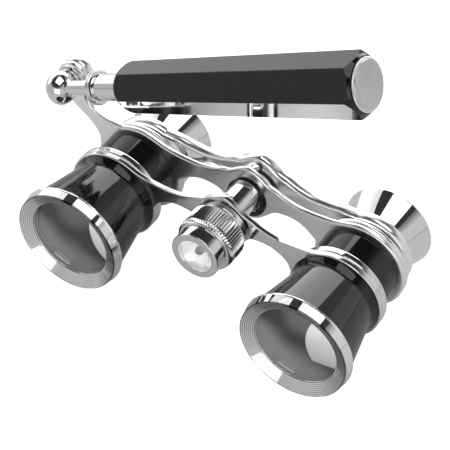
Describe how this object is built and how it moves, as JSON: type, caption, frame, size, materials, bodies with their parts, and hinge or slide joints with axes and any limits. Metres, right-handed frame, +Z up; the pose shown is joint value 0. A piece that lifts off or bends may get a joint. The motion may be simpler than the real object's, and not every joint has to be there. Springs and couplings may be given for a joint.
{
  "type": "opera glasses",
  "caption": "Folding-handle opera glasses: two short tapered barrels on wavy bridges, a central focusing knob with a lamp, and a six-sided grip that turns and telescopes.",
  "frame": {"origin": "middle of the ground the object covers at rest, level with the lowest points of the objective rims", "axes": "+X across the barrels, from the handle's hinge side to the other side; +Y from the objective rims towards the eyecups; +Z up"},
  "size_m": [0.1146, 0.0546, 0.0894],
  "materials": {
    "chrome": "polished",
    "steel": "satin",
    "black_enamel": "gloss",
    "black_inner": "matte",
    "glass": "polished",
    "reflector": "polished",
    "lamp_led": "gloss"
  },
  "bodies": {
    "glasses": {"objective_rim_left": "chrome", "objective_rim_right": "chrome", "objective_lens_left": "glass", "objective_lens_right": "glass", "objective_retainer_left": "black_inner", "objective_retainer_right": "black_inner", "front_barrel_left": "black_enamel", "front_barrel_right": "black_enamel", "rear_barrel_left": "black_enamel", "rear_barrel_right": "black_enamel", "front_bridge": "chrome", "rear_bridge": "chrome", "front_hub_screw": "steel", "rear_hub_screw": "steel", "centre_tube": "chrome", "knob_boss": "chrome", "tube_collar": "chrome", "inner_washer": "chrome", "outer_washer": "chrome", "hinge_pin": "steel"},
    "eyepieces": {"eyepiece_bridge": "chrome", "focus_nut": "steel", "eyepiece_tube_left": "chrome", "eyepiece_tube_right": "chrome", "eyecup_left": "chrome", "eyecup_right": "chrome", "eye_lens_left": "glass", "eye_lens_right": "glass", "eye_lens_retainer_left": "black_inner", "eye_lens_retainer_right": "black_inner"},
    "knob": {"focus_knob": "chrome", "focus_screw": "steel", "battery_cell_1": "steel", "battery_cell_2": "steel", "battery_contact": "steel"},
    "lamp": {"lamp_bezel": "chrome", "lamp_lens": "glass", "lamp_reflector": "reflector", "lamp_led": "lamp_led"},
    "handle": {"handle_knuckle": "chrome", "handle_tube": "chrome", "tube_stop": "black_inner"},
    "grip": {"handle_grip": "black_enamel", "grip_bush": "black_inner", "grip_end_ring": "chrome", "grip_end_cap": "chrome"}
  },
  "joints": [
    {"name": "focus_slide", "type": "slide", "parent": "glasses", "child": "eyepieces", "axis": [0, 1, 0], "range_m": [0, 0.006]},
    {"name": "knob_turn", "type": "hinge", "parent": "glasses", "child": "knob", "pos_m": [0.0055, -0.0103, 0.0231], "axis": [0, 1, 0], "range_deg": [0, 360]},
    {"name": "lamp_twist", "type": "hinge", "parent": "knob", "child": "lamp", "pos_m": [0.0055, -0.0158, 0.0231], "axis": [0, 1, 0], "range_deg": [0, 40]},
    {"name": "handle_fold", "type": "hinge", "parent": "glasses", "child": "handle", "pos_m": [-0.0524, 0.0038, 0.0393], "axis": [0, -1, 0], "range_deg": [-22, 165]},
    {"name": "grip_slide", "type": "slide", "parent": "handle", "child": "grip", "axis": [0.9033, 0, 0.4289], "range_m": [0, 0.035]}
  ],
  "couplings": [
    {"joint": "knob_turn", "follows": "focus_slide", "rad_per_m": 1047}
  ]
}
